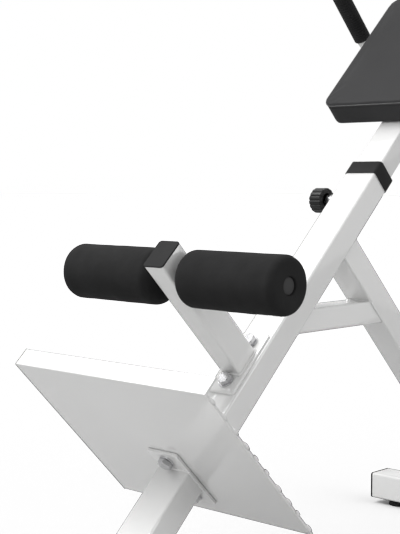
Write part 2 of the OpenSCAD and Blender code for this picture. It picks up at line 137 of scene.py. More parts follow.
class TreeKit:
    """Adds and links nodes in one tree."""

    def __init__(self, tree: bpy.types.NodeTree) -> None:
        """Keeps the tree that the nodes go into."""
        self.tree = tree

    @classmethod
    def group(
        cls, name: str, kind: str, inputs: dict, outputs: dict
    ) -> tuple["TreeKit", dict, bpy.types.Node]:
        """Starts a node group with named sockets.

        Args:
            name: the group's name.
            kind: GeometryNodeTree or ShaderNodeTree.
            inputs: socket name to (socket type, default value or None).
            outputs: socket name to socket type.
        """
        tree = bpy.data.node_groups.new(name, kind)
        for label, (socket, default) in inputs.items():
            item = tree.interface.new_socket(name=label, in_out="INPUT", socket_type=socket)
            if default is not None:
                item.default_value = default
        for label, socket in outputs.items():
            tree.interface.new_socket(name=label, in_out="OUTPUT", socket_type=socket)
        kit = cls(tree)
        source = kit.add("NodeGroupInput")
        return kit, {label: source.outputs[label] for label in inputs}, kit.add("NodeGroupOutput")

    def add(self, kind: str, inputs: dict | None = None, **settings: object) -> bpy.types.Node:
        """Adds a node.

        Args:
            kind: the node's type.
            inputs: socket name or index to a socket to link from, or to a value.
            settings: the node's own properties.

        Returns:
            The new node.
        """
        node = self.tree.nodes.new(kind)
        for key, value in settings.items():
            setattr(node, key, value)
        for key, value in (inputs or {}).items():
            if isinstance(value, bpy.types.NodeSocket):
                self.tree.links.new(value, node.inputs[key])
            else:
                node.inputs[key].default_value = value
        return node

    def maths(self, operation: str, first: object, second: object = 0.0) -> bpy.types.NodeSocket:
        """One step of arithmetic; each operand is a socket or a number."""
        return self.add("ShaderNodeMath", {0: first, 1: second}, operation=operation).outputs[0]

    def vector(self, x: object, y: object, z: object) -> bpy.types.NodeSocket:
        """Joins three sockets or numbers into a vector."""
        return self.add("ShaderNodeCombineXYZ", {0: x, 1: y, 2: z}).outputs[0]

    def output(self, node: bpy.types.Node, **sockets: bpy.types.NodeSocket) -> None:
        """Links sockets to the group's output node by name."""
        for label, socket in sockets.items():
            self.tree.links.new(socket, node.inputs[label])


# ---------------------------------------------------------------- finishes


class Pattern(Enum):
    """The surface patterns that finishes share, each one a shader group."""

    SPECKLE = "fine speckle"
    PORES = "foam pores"
    PEBBLE = "vinyl pebble grain"
    WEAVE = "plain weave"
    SMUDGE = "handling smudges"


def pattern_group(pattern: Pattern) -> bpy.types.NodeTree:
    """Builds a pattern's shader group once.

    Args:
        pattern: the pattern wanted.

    Returns:
        The group, with inputs Scale (features per metre) and Contrast, and output Height, 0 to 1.
    """
    if pattern.value in bpy.data.node_groups:
        return bpy.data.node_groups[pattern.value]
    number = "NodeSocketFloat"
    kit, given, out = TreeKit.group(
        pattern.value,
        "ShaderNodeTree",
        {"Scale": (number, 1000.0), "Contrast": (number, 0.5)},
        {"Height": number},
    )
    place = kit.add("ShaderNodeTexCoord").outputs["Object"]
    scale = given["Scale"]
    if pattern is Pattern.PORES:
        cells = kit.add("ShaderNodeTexVoronoi", {"Vector": place, "Scale": scale}, feature="F1")
        fine = kit.add("ShaderNodeTexNoise", {"Vector": place, "Scale": scale, "Detail": 3.0})
        raw = kit.maths("MULTIPLY", cells.outputs["Distance"], fine.outputs[0])
    elif pattern is Pattern.PEBBLE:
        soft = kit.add("ShaderNodeTexNoise", {"Vector": place, "Scale": scale, "Detail": 2.0})
        bent = kit.add(
            "ShaderNodeVectorMath",
            {0: soft.outputs["Color"], 1: (0.0006, 0.0006, 0.0006), 2: place},
            operation="MULTIPLY_ADD",
        )
        cells = kit.add(
            "ShaderNodeTexVoronoi",
            {"Vector": bent.outputs[0], "Scale": scale},
            feature="DISTANCE_TO_EDGE",
        )
        raw = kit.maths("MINIMUM", kit.maths("MULTIPLY", cells.outputs["Distance"], 3.0), 1.0)
    elif pattern is Pattern.WEAVE:
        waves = [
            kit.add("ShaderNodeTexWave", {"Vector": place, "Scale": scale}, bands_direction=way)
            for way in ("DIAGONAL", "Y")
        ]
        raw = kit.maths("MAXIMUM", waves[0].outputs["Fac"], waves[1].outputs["Fac"])
    else:
        detail = 2.0 if pattern is Pattern.SPECKLE else 6.0
        cloud = kit.add("ShaderNodeTexNoise", {"Vector": place, "Scale": scale, "Detail": detail})
        raw = cloud.outputs[0]
    spread = kit.add(
        "ShaderNodeMapRange",
        {
            "Value": raw,
            "From Min": kit.maths("SUBTRACT", 0.5, given["Contrast"]),
            "From Max": kit.maths("ADD", 0.5, given["Contrast"]),
        },
    )
    kit.output(out, Height=spread.outputs["Result"])
    return kit.tree


@dataclass(frozen=True)
class Relief:
    """A pattern pressed into a surface, with its features per metre and its depth in mm."""

    pattern: Pattern
    scale: float
    depth: float
    contrast: float = 0.5


@dataclass(frozen=True)
class Finish:
    """One real finish: its shader values, the patches that vary it, and its relief."""

    name: str
    colour: tuple[float, float, float]
    roughness: float
    metallic: float = 0.0
    coat: float = 0.0
    coat_roughness: float = 0.05
    coat_ior: float = 1.5
    specular: float = 0.5
    patch_scale: float = 12.0
    patch_dark: float = 0.06
    patch_rough: float = 0.05
    reliefs: tuple[Relief, ...] = ()

    def material(self) -> bpy.types.Material:
        """Builds the finish's material once and returns it."""
        label = f"finish_{self.name}"
        known = bpy.data.materials.get(label)
        if known is not None:
            return known
        made = bpy.data.materials.new(label)
        made.use_nodes = True
        made.diffuse_color = (*self.colour, 1.0)
        kit = TreeKit(made.node_tree)
        shader = made.node_tree.nodes["Principled BSDF"]
        for socket, value in {
            "Metallic": self.metallic,
            "Coat Weight": self.coat,
            "Coat Roughness": self.coat_roughness,
            "Coat IOR": self.coat_ior,
            "Specular IOR Level": self.specular,
        }.items():
            shader.inputs[socket].default_value = value
        patches = self._pattern(kit, Relief(Pattern.SMUDGE, self.patch_scale, 0.0, 0.3))
        worn = tuple(c * (1 - self.patch_dark) for c in self.colour)
        tint = kit.add(
            "ShaderNodeMix",
            {0: patches, 6: (*self.colour, 1.0), 7: (*worn, 1.0)},
            data_type="RGBA",
        )
        kit.tree.links.new(tint.outputs[2], shader.inputs["Base Color"])
        gloss = kit.add(
            "ShaderNodeMapRange",
            {
                "Value": patches,
                "To Min": self.roughness - self.patch_rough,
                "To Max": self.roughness + self.patch_rough,
            },
        )
        kit.tree.links.new(gloss.outputs["Result"], shader.inputs["Roughness"])
        normal = None
        for relief in self.reliefs:
            height = self._pattern(kit, relief)
            inputs = {"Height": height, "Distance": relief.depth * MM, "Strength": 1.0}
            if normal is not None:
                inputs["Normal"] = normal
            normal = kit.add("ShaderNodeBump", inputs).outputs["Normal"]
        if normal is not None:
            kit.tree.links.new(normal, shader.inputs["Normal"])
            if self.coat:
                kit.tree.links.new(normal, shader.inputs["Coat Normal"])
        return made

    @staticmethod
    def _pattern(kit: TreeKit, relief: Relief) -> bpy.types.NodeSocket:
        """Places a shared pattern group in a material and returns its height."""
        node = kit.add("ShaderNodeGroup", node_tree=pattern_group(relief.pattern))
        node.inputs["Scale"].default_value = relief.scale
        node.inputs["Contrast"].default_value = relief.contrast
        return node.outputs["Height"]


WHITE_PAINT = Finish(
    "white_powder_coat", (0.78, 0.78, 0.775), 0.35, coat=1.0, coat_roughness=0.03, coat_ior=1.75,
    patch_dark=0.015, reliefs=(Relief(Pattern.SPECKLE, 350.0, 0.012, 0.3),),
)
SCUFFED_PAINT = Finish(
    "scuffed_white_coat", (0.77, 0.77, 0.765), 0.38, coat=0.8, coat_roughness=0.07, coat_ior=1.65,
    patch_scale=22.0, patch_dark=0.05, patch_rough=0.08,
    reliefs=(Relief(Pattern.SPECKLE, 320.0, 0.03, 0.3),),
)
ZINC = Finish(
    "bright_zinc", (0.62, 0.62, 0.63), 0.2, metallic=1.0, patch_scale=160.0, patch_dark=0.10,
    patch_rough=0.05, reliefs=(Relief(Pattern.SPECKLE, 1500.0, 0.006),),
)
BLACK_PLASTIC = Finish(
    "black_moulded_plastic", (0.025, 0.025, 0.0255), 0.55, specular=0.06,
    patch_scale=30.0, patch_dark=0.12, reliefs=(Relief(Pattern.SPECKLE, 1700.0, 0.03),),
)
KNOB_PLASTIC = Finish(
    "knob_plastic", (0.013, 0.013, 0.0135), 0.34, specular=0.3, patch_scale=60.0, patch_dark=0.15,
    reliefs=(Relief(Pattern.SPECKLE, 1500.0, 0.02),),
)
GREY_NYLON = Finish(
    "moulded_nylon", (0.055, 0.055, 0.0555), 0.5, specular=0.08, patch_scale=60.0, patch_dark=0.1,
    reliefs=(Relief(Pattern.SPECKLE, 1200.0, 0.02),),
)
FOAM = Finish(
    "closed_cell_foam", (0.0205, 0.0205, 0.0208), 0.9, specular=0.12,
    patch_scale=35.0, patch_dark=0.2, patch_rough=0.06,
    reliefs=(Relief(Pattern.PORES, 900.0, 0.12, 0.35), Relief(Pattern.SPECKLE, 180.0, 0.45)),
)
VINYL = Finish(
    "charcoal_vinyl", (0.045, 0.045, 0.046), 0.46, specular=0.04,
    patch_scale=9.0, patch_dark=0.1, patch_rough=0.05,
    reliefs=(Relief(Pattern.PEBBLE, 620.0, 0.06), Relief(Pattern.SPECKLE, 90.0, 0.10)),
)
# The welt is the cover's vinyl painted lighter: its lighter colour is a painted highlight along the seam, while
# its higher specular and lower roughness are real gloss.
WELT_PAINTED_HIGHLIGHT = Finish(
    "piping_vinyl", (0.062, 0.062, 0.063), 0.36, specular=0.35, patch_scale=60.0, patch_dark=0.1,
    reliefs=(Relief(Pattern.SPECKLE, 900.0, 0.03),),
)
THREAD = Finish(
    "stitching_thread", (0.014, 0.014, 0.0145), 0.75, specular=0.2,
    patch_scale=400.0, patch_dark=0.3, reliefs=(Relief(Pattern.SPECKLE, 3000.0, 0.05),),
)
RUBBER = Finish(
    "matt_black_rubber", (0.013, 0.013, 0.0135), 0.72, specular=0.3,
    patch_scale=25.0, patch_dark=0.15, reliefs=(Relief(Pattern.SPECKLE, 1100.0, 0.04),),
)
BACKING = Finish(
    "black_backing_cloth", (0.014, 0.014, 0.0145), 0.88, specular=0.2,
    patch_scale=20.0, patch_dark=0.2, reliefs=(Relief(Pattern.WEAVE, 260.0, 0.12),),
)
STUDIO_FLOOR = Finish(
    "studio_floor", (0.46, 0.46, 0.46), 0.8, specular=0.0, patch_scale=1.5, patch_dark=0.005,
)


# ---------------------------------------------------------------- meshes


def linked(name: str, data: bpy.types.ID) -> bpy.types.Object:
    """Makes an object of some data and links it to the scene."""
    made = bpy.data.objects.new(name, data)
    bpy.context.scene.collection.objects.link(made)
    return made


def publish(name: str, shape: bmesh.types.BMesh, angle: float = 35.0) -> bpy.types.Object:
    """Turns a bmesh into a linked object with outward faces and smooth shading.

    Args:
        name: the object's name.
        shape: the bmesh, which is freed.
        angle: edges sharper than this, in degrees, stay sharp.

    Returns:
        The new object.
    """
    bmesh.ops.remove_doubles(shape, verts=shape.verts, dist=0.002 * MM)
    bmesh.ops.recalc_face_normals(shape, faces=shape.faces)
    mesh = bpy.data.meshes.new(name)
    shape.to_mesh(mesh)
    shape.free()
    shade(mesh, angle)
    return linked(name, mesh)


def shade(mesh: bpy.types.Mesh, angle: float) -> None:
    """Shades a mesh smooth, with edges sharper than angle degrees kept."""
    mesh.polygons.foreach_set("use_smooth", [True] * len(mesh.polygons))
    mesh.set_sharp_from_angle(angle=math.radians(angle))


def settle(piece: bpy.types.Object) -> bpy.types.Object:
    """Turns a piece's modifiers into plain mesh and returns the piece."""
    bpy.context.view_layer.update()
    seen = piece.evaluated_get(bpy.context.evaluated_depsgraph_get())
    mesh = bpy.data.meshes.new_from_object(seen)
    piece.modifiers.clear()
    old, piece.data = piece.data, mesh
    mesh.name = piece.name
    bpy.data.meshes.remove(old)
    return piece


def dress(
    piece: bpy.types.Object, finish: Finish, slot: str, body: str, *nodes: str
) -> bpy.types.Object:
    """Gives a finished piece its material and body.

    Args:
        piece: the object.
        finish: its finish.
        slot: the record's material slot; not used.
        body: the body it rides on.
        nodes: the CAD nodes it stands for.

    Returns:
        The piece.
    """
    piece.data.materials.clear()
    piece.data.materials.append(finish.material())
    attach(piece, body)
    if nodes:
        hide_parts(*nodes)
    LOG.info("%s rides on %s", piece.name, body)
    return piece


def loft(rings: Sequence[Ring], loop: bool = False) -> bmesh.types.BMesh:
    """Skins a row of equal rings.

    Args:
        rings: the rings, each a closed loop of points.
        loop: True joins the last ring to the first, else both ends are closed.

    Returns:
        A closed bmesh.
    """
    shape = bmesh.new()
    rows = [[shape.verts.new(point) for point in ring] for ring in rings]
    pairs = list(zip(rows, rows[1:])) + ([(rows[-1], rows[0])] if loop else [])
    for low, high in pairs:
        for i, _ in enumerate(low):
            j = (i + 1) % len(low)
            shape.faces.new((low[i], low[j], high[j], high[i]))
    if not loop:
        shape.faces.new(rows[0][::-1])
        shape.faces.new(rows[-1])
    return shape


def lathe(
    profile: Sequence[tuple[float, float]],
    matrix: Matrix,
    steps: int = 64,
    loop: bool = False,
    ripple: Callable[[float, float, float], float] | None = None,
) -> bmesh.types.BMesh:
    """Turns a profile about z.

    Args:
        profile: radius and height pairs, in mm.
        matrix: where the turned shape goes.
        steps: points round each ring.
        loop: True for a profile that closes on itself, such as a sleeve's.
        ripple: extra radius in mm from the radius, height and angle.

    Returns:
        A closed bmesh.
    """
    rings = []
    for radius, height in profile:
        ring = []
        for i in range(steps):
            angle = math.tau * i / steps
            reach = radius + (ripple(radius, height, angle) if ripple else 0.0)
            point = Vector((reach * math.cos(angle), reach * math.sin(angle), height))
            ring.append(matrix @ (point * MM))
        rings.append(ring)
    return loft(rings, loop)


def arc(centre: tuple[float, float], radius: float, start: float, end: float, steps: int) -> list:
    """Points of an arc in the plane, from start to end in degrees."""
    angles = [math.radians(start + (end - start) * i / steps) for i in range(steps + 1)]
    return [(centre[0] + radius * math.cos(a), centre[1] + radius * math.sin(a)) for a in angles]


def rounded_outline(width: float, height: float, radius: float, steps: int = 8) -> list:
    """Outline of a rectangle with round corners, centred, counter-clockwise."""
    x, y = width / 2 - radius, height / 2 - radius
    corners = ((x, y, 0), (-x, y, 90), (-x, -y, 180), (x, -y, 270))
    return [p for cx, cy, a in corners for p in arc((cx, cy), radius, a, a + 90, steps)]


TUBE_EDGE = 0.3
PLATE_EDGE = 0.6


def refined(node: str, finish: Finish, bevel: float, segments: int = 2) -> bpy.types.Object:
    """Remakes a CAD node with broken edges and smooth shading.

    Args:
        node: the CAD node's name.
        finish: its finish.
        bevel: width of the broken edges, in mm.
        segments: steps across each broken edge.

    Returns:
        The piece that stands for the node.
    """
    shape = bmesh.new()
    shape.from_mesh(frame["nodes"][node].data)
    bmesh.ops.remove_doubles(shape, verts=shape.verts, dist=0.01 * MM)
    flat = math.radians(0.5)
    bmesh.ops.dissolve_limit(shape, angle_limit=flat, verts=shape.verts, edges=shape.edges)
    name = f"{node}_finished"
    mesh = bpy.data.meshes.new(name)
    shape.to_mesh(mesh)
    shape.free()
    piece = linked(name, mesh)
    edge = piece.modifiers.new("broken_edges", "BEVEL")
    edge.width = bevel * MM
    edge.segments = segments
    edge.limit_method = "ANGLE"
    edge.angle_limit = math.radians(40)
    edge.miter_outer = "MITER_ARC"
    settle(piece)
    shade(piece.data, 32.0)
    return dress(piece, finish, SLOT_OF[node], BODY_OF[node], node)


# ---------------------------------------------------------------- repeated things


def point_cloud(name: str, spots: Sequence[Spot]) -> bpy.types.Object:
    """Makes the seed points of a repeated thing.

    Args:
        name: the object's name.
        spots: each spot's place, the way its thing faces, and its turn about that way in radians.

    Returns:
        An object with one vertex for each spot and the attributes facing and turn.
    """
    mesh = bpy.data.meshes.new(name)
    mesh.from_pydata([spot[0] for spot in spots], [], [])
    mesh.attributes.new("facing", "FLOAT_VECTOR", "POINT")
    mesh.attributes.new("turn", "FLOAT", "POINT")
    for i, (_, way, angle) in enumerate(spots):
        mesh.attributes["facing"].data[i].vector = way
        mesh.attributes["turn"].data[i].value = angle
    return linked(name, mesh)


def path_object(name: str, paths: Sequence[tuple[Ring, bool]]) -> bpy.types.Object:
    """Makes the lines that a repeated thing follows.

    Args:
        name: the object's name.
        paths: each path's points, and whether it is closed.

    Returns:
        An object of edges.
    """
    points: Ring = []
    edges = []
    for path, closed in paths:
        first = len(points)
        points += path
        edges += [(first + i, first + i + 1) for i in range(len(path) - 1)]
        if closed:
            edges.append((first + len(path) - 1, first))
    mesh = bpy.data.meshes.new(name)
    mesh.from_pydata(points, edges, [])
    return linked(name, mesh)


def run_tree(piece: bpy.types.Object, tree: bpy.types.NodeTree, values: dict) -> bpy.types.Object:
    """Runs a geometry tree on an object, bakes it to plain mesh and shades it.

    Args:
        piece: the seed object.
        tree: the geometry tree.
        values: input name to value.

    Returns:
        The same object with its new mesh.
    """
    work = piece.modifiers.new(tree.name, "NODES")
    work.node_group = tree
    for item in tree.interface.items_tree:
        if item.in_out == "INPUT" and item.name in values:
            work[item.identifier] = values[item.name]
    piece.update_tag()
    settle(piece)
    shade(piece.data, 25.0)
    return piece


SOCKET_OF = {
    int: "NodeSocketInt",
    float: "NodeSocketFloat",
    bpy.types.Object: "NodeSocketObject",
    bpy.types.Material: "NodeSocketMaterial",
}


def geometry_group(name: str, inputs: dict) -> tuple[TreeKit, dict, bpy.types.Node]:
    """Starts a geometry tree.

    Args:
        name: the tree's name.
        inputs: each input's name and its default number or its type, beside Geometry and Material.
    """
    sockets = {"Geometry": ("NodeSocketGeometry", None)}
    for label, value in (*inputs.items(), ("Material", bpy.types.Material)):
        default = value if type(value) in (int, float) else None
        sockets[label] = (SOCKET_OF[value if default is None else type(value)], default)
    return TreeKit.group(name, "GeometryNodeTree", sockets, {"Geometry": "NodeSocketGeometry"})


def finished_tree(
    kit: TreeKit, out: bpy.types.Node, shape: object, material: object
) -> bpy.types.NodeTree:
    """Ends a geometry tree with Realize Instances and Set Material."""
    real = kit.add("GeometryNodeRealizeInstances", {"Geometry": shape})
    done = kit.add("GeometryNodeSetMaterial", {"Geometry": real.outputs[0], "Material": material})
    kit.output(out, Geometry=done.outputs[0])
    return kit.tree


def fastener_tree() -> bpy.types.NodeTree:
    """Tree that stands a template on every seed point, facing and turned as the point says."""
    kit, given, out = geometry_group("fasteners", {"Template": bpy.types.Object})
    template = kit.add("GeometryNodeObjectInfo", {"Object": given["Template"]})
    way = kit.add("GeometryNodeInputNamedAttribute", {"Name": "facing"}, data_type="FLOAT_VECTOR")
    angle = kit.add("GeometryNodeInputNamedAttribute", {"Name": "turn"}, data_type="FLOAT")
    stand = kit.add("FunctionNodeAlignRotationToVector", {"Vector": way.outputs[0]}, axis="Z")
    spin = kit.add(
        "FunctionNodeAxisAngleToRotation", {"Axis": (0, 0, 1), "Angle": angle.outputs[0]}
    )
    turned = kit.add(
        "FunctionNodeRotateRotation",
        {"Rotation": stand.outputs[0], "Rotate By": spin.outputs[0]},
        rotation_space="LOCAL",
    )
    placed = kit.add(
        "GeometryNodeInstanceOnPoints",
        {
            "Points": given["Geometry"],
            "Instance": template.outputs["Geometry"],
            "Rotation": turned.outputs[0],
        },
    )
    return finished_tree(kit, out, placed.outputs[0], given["Material"])


def resampled(kit: TreeKit, paths: object, step: object) -> bpy.types.NodeSocket:
    """Turns edge paths into curves with points a step apart."""
    line = kit.add("GeometryNodeMeshToCurve", {"Mesh": paths}).outputs[0]
    inputs = {"Curve": line, "Length": step}
    return kit.add("GeometryNodeResampleCurve", inputs, mode="LENGTH").outputs[0]


def bead_tree() -> bpy.types.NodeTree:
    """Tree that lays a rippled round bead along every path, as a weld is."""
    kit, given, out = geometry_group(
        "weld_bead", {"Radius": 0.002, "Ripple": 0.2, "Ripple Length": 0.003, "Step": 0.001}
    )
    fine = resampled(kit, given["Geometry"], given["Step"])
    gone = kit.add("GeometryNodeSplineParameter").outputs["Length"]
    phase = kit.maths("MULTIPLY", kit.maths("DIVIDE", gone, given["Ripple Length"]), math.tau)
    swell = kit.maths("MULTIPLY", kit.maths("SINE", phase), given["Ripple"])
    radius = kit.maths("MULTIPLY", kit.maths("ADD", swell, 1.0), given["Radius"])
    circle = kit.add("GeometryNodeCurvePrimitiveCircle", {"Resolution": 8, "Radius": 1.0})
    tube = kit.add(
        "GeometryNodeCurveToMesh",
        {
            "Curve": fine,
            "Profile Curve": circle.outputs["Curve"],
            "Scale": radius,
            "Fill Caps": True,
        },
    )
    return finished_tree(kit, out, tube.outputs[0], given["Material"])


def stitch_tree() -> bpy.types.NodeTree:
    """Tree that lays short rounded bars, such as stitches or staples, along every path."""
    kit, given, out = geometry_group(
        "stitches", {"Pitch": 0.006, "Length": 0.004, "Thickness": 0.0008}
    )
    spots = resampled(kit, given["Geometry"], given["Pitch"])
    way = kit.add("GeometryNodeInputTangent")
    laid = kit.add("FunctionNodeAlignRotationToVector", {"Vector": way.outputs[0]}, axis="Z")
    bar = kit.add("GeometryNodeMeshUVSphere", {"Segments": 8, "Rings": 6, "Radius": 1.0})
    half = kit.maths("MULTIPLY", given["Thickness"], 0.5)
    size = kit.vector(half, half, kit.maths("MULTIPLY", given["Length"], 0.5))
    placed = kit.add(
        "GeometryNodeInstanceOnPoints",
        {
            "Points": spots,
            "Instance": bar.outputs["Mesh"],
            "Rotation": laid.outputs[0],
            "Scale": size,
        },
    )
    return finished_tree(kit, out, placed.outputs[0], given["Material"])


def tread_tree() -> bpy.types.NodeTree:
    """Tree that covers a plate with lens-shaped lugs, each turned across its neighbours.

    A strip along the middle, as wide as twice Bare Half Width, stays bare.
    """
    kit, given, out = geometry_group(
        "tread_lugs",
        {
            "Columns": 13,
            "Rows": 10,
            "Pitch": 0.03,
            "Lug Length": 0.027,
            "Lug Width": 0.009,
            "Lug Height": 0.0026,
            "Bare Half Width": 0.04,
        },
    )
    spans = [
        kit.maths("MULTIPLY", given["Pitch"], kit.maths("SUBTRACT", given[count], 1.0))
        for count in ("Columns", "Rows")
    ]
    grid = kit.add(
        "GeometryNodeMeshGrid",
        {
            "Size X": spans[0],
            "Size Y": spans[1],
            "Vertices X": given["Columns"],
            "Vertices Y": given["Rows"],
        },
    )
    where = kit.add("ShaderNodeSeparateXYZ", {0: kit.add("GeometryNodeInputPosition").outputs[0]})
    shifted = [kit.maths("ADD", where.outputs[i], spans[i]) for i in (0, 1)]
    cells = [kit.maths("ROUND", kit.maths("DIVIDE", along, given["Pitch"])) for along in shifted]
    parity = kit.maths("MODULO", kit.maths("ADD", cells[0], cells[1]), 2.0)
    lean = kit.maths("MULTIPLY", kit.maths("SUBTRACT", parity, 0.5), math.pi / 2)
    bare = kit.maths("LESS_THAN", kit.maths("ABSOLUTE", where.outputs[0]), given["Bare Half Width"])
    stood = kit.add(
        "GeometryNodeDeleteGeometry", {"Geometry": grid.outputs["Mesh"], "Selection": bare}
    )
    lug = kit.add("GeometryNodeMeshUVSphere", {"Segments": 16, "Rings": 8, "Radius": 0.5})
    height = kit.maths("MULTIPLY", given["Lug Height"], 2.0)
    placed = kit.add(
        "GeometryNodeInstanceOnPoints",
        {
            "Points": stood.outputs[0],
            "Instance": lug.outputs["Mesh"],
            "Rotation": kit.vector(0.0, 0.0, lean),
            "Scale": kit.vector(given["Lug Length"], given["Lug Width"], height),
        },
    )
    return finished_tree(kit, out, placed.outputs[0], given["Material"])


@dataclass(frozen=True)
class Trees:
    """The geometry trees, built once."""

    fasteners: bpy.types.NodeTree
    beads: bpy.types.NodeTree
    stitches: bpy.types.NodeTree
    tread: bpy.types.NodeTree


# ---------------------------------------------------------------- fasteners


@dataclass(frozen=True)
class Thread:
    """A metric size: radius, width across flats, head and nut heights, washer, in mm."""

    radius: float
    flats: float
    head: float
    nut: float
    washer_radius: float = 0.0
    washer: float = 0.0
    pitch: float = 1.5
    depth: float = 0.8
    play: float = 0.3
    broken: float = 0.3
    face_share: float = 0.95
    chamfer: float = 30.0

    def hexagon(self, height: float, chamfer_low: bool) -> list[Ring]:
        """Rings of a chamfered hexagon standing on z = 0.

        Args:
            height: its height in mm.
            chamfer_low: True chamfers both ends, as on a nut.

        Returns:
            The rings, from the bottom to the top.
        """
        inner = self.flats / 2
        face = inner * self.face_share
        steps = 48

        def edge(angle: float) -> float:
            """The hexagon's reach at an angle."""
            turn = (angle + math.pi / 6) % (math.pi / 3) - math.pi / 6
            return inner / math.cos(turn)

        def ring(level: Callable[[float], float], cut: bool) -> Ring:
            """The hexagon's ring, or its chamfer's circle when cut; level gives the height."""
            points = []
            for i in range(steps):
                angle = math.tau * i / steps
                reach = face if cut else edge(angle)
                across = Vector((math.cos(angle), math.sin(angle), 0)) * reach
                points.append((across + Vector((0, 0, level(reach)))) * MM)
            return points

        slope = math.tan(math.radians(self.chamfer))
        low = ring(lambda r: (r - face) * slope if chamfer_low else 0.0, False)
        high = ring(lambda r: height - (r - face) * slope, False)
        rings = [low, high, ring(lambda r: height, True)]
        if chamfer_low:
            rings.insert(0, ring(lambda r: 0.0, True))
        return rings

    def bolt(self, length: float) -> bpy.types.Object:
        """A hexagon bolt with a cut thread, its head standing on z = 0."""
        shape = loft(self.hexagon(self.head, False))
        turns = int(length / self.pitch)
        crest, root = self.radius, self.radius - self.depth
        profile = [(crest - 0.1, 0.0)]
        for i in range(turns):
            level = -self.pitch * (i + 0.5)
            profile += [(crest, level + self.pitch * 0.1), (root, level - self.pitch * 0.4)]
        profile.append((crest - 1.5 * self.depth, -length))
        return self._template("bolt_template", shape, lathe(profile, Matrix.Identity(4), 24))

    def nut_template(self) -> bpy.types.Object:
        """A hexagon nut standing on z = 0."""
        return self._template("nut_template", loft(self.hexagon(self.nut, True)))

    def washer_template(self) -> bpy.types.Object:
        """A flat washer standing on z = 0, with broken edges."""
        r, t, e = self.washer_radius, self.washer, self.broken
        inner = self.radius + self.play
        profile = [(inner, 0), (r - e, 0), (r, e), (r, t - e), (r - e, t), (inner, t)]
        return self._template("washer_template", lathe(profile, Matrix.Identity(4), 48, loop=True))

    @staticmethod
    def _template(name: str, *shapes: bmesh.types.BMesh) -> bpy.types.Object:
        """Joins shapes into one hidden template object."""
        whole = bmesh.new()
        for shape in shapes:
            mesh = bpy.data.meshes.new("part")
            bmesh.ops.recalc_face_normals(shape, faces=shape.faces)
            shape.to_mesh(mesh)
            shape.free()
            whole.from_mesh(mesh)
            bpy.data.meshes.remove(mesh)
        mesh = bpy.data.meshes.new(name)
        whole.to_mesh(mesh)
        whole.free()
        return bpy.data.objects.new(name, mesh)


M12 = Thread(6.0, 19.0, 7.5, 10.0, 12.0, 2.5, 1.75)
M10 = Thread(5.0, 17.0, 6.4, 8.0)
M8 = Thread(4.0, 13.0, 5.3, 6.8, pitch=1.25)


@dataclass(frozen=True)
class FastenerSet:
    """One CAD node of like fasteners, remade from a template on each of its places."""

    node: str
    spots: Sequence[Spot]

    def build(self, trees: Trees, template: bpy.types.Object) -> bpy.types.Object:
        """Stands the template on every place, then removes it.

        Args:
            trees: the geometry trees.
            template: the fastener's template object.

        Returns:
            The piece that stands for the node.
        """
        piece = point_cloud(self.node + "_set", self.spots)
        bpy.context.scene.collection.objects.link(template)
        run_tree(piece, trees.fasteners, {"Template": template, "Material": ZINC.material()})
        bpy.data.objects.remove(template)
        return dress(piece, ZINC, SLOT_OF[self.node], BODY_OF[self.node], self.node)


def bolt_row(places: Sequence[Vector], way: Vector, turn: float, step: float = 0.0) -> list[Spot]:
    """Spots that face one way, each turned a step further than the one before."""
    return [(place, way, turn + step * i) for i, place in enumerate(places)]


def kept(node: str, finish: Finish) -> None:
    """Gives a CAD node that stays as it is its finish."""
    mesh = frame["nodes"][node].data
    mesh.materials.clear()
    mesh.materials.append(finish.material())
    LOG.info("%s is shown as modelled", node)


def middle(node: str) -> Vector:
    """The middle of a CAD node's box, in metres."""
    low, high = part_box(node)
    return (low + high) / 2


# ---------------------------------------------------------------- welds


@dataclass(frozen=True)
class Weld:
    """A painted bead round the end of a rectangular tube, lying in the plane of matrix."""

    matrix: Matrix
    width: float
    height: float
    corner: float = 4.0
    stand_off: float = 0.5

    def path(self) -> Ring:
        """The bead's closed centreline."""
        grow = 2 * self.stand_off
        corner = self.corner + self.stand_off
        outline = rounded_outline(self.width + grow, self.height + grow, corner)
        return [self.matrix @ (Vector((x, y, self.stand_off)) * MM) for x, y in outline]


@dataclass(frozen=True)
class WeldSet:
    """All the beads on one body."""

    name: str
    welds: tuple[Weld, ...]
    radius: float = 1.8

    def build(self, trees: Trees) -> bpy.types.Object:
        """Lays the beads and paints them."""
        piece = path_object(self.name, [(weld.path(), True) for weld in self.welds])
        run_tree(
            piece,
            trees.beads,
            {"Radius": self.radius * MM, "Material": WHITE_PAINT.material()},
        )
        return dress(piece, WHITE_PAINT, "white_paint", Body.FRAME)


# A shape's own z is turned up the beam, down the beam, or out of the beam's underside.
FACE_ALONG = Matrix(((0, 0, 1, 0), (1, 0, 0, 0), (0, 1, 0, 0), (0, 0, 0, 1)))
FACE_BACK = Matrix(((0, 0, -1, 0), (1, 0, 0, 0), (0, -1, 0, 0), (0, 0, 0, 1)))
FACE_DOWN = Matrix.Rotation(math.pi, 4, "X")


# ---------------------------------------------------------------- base


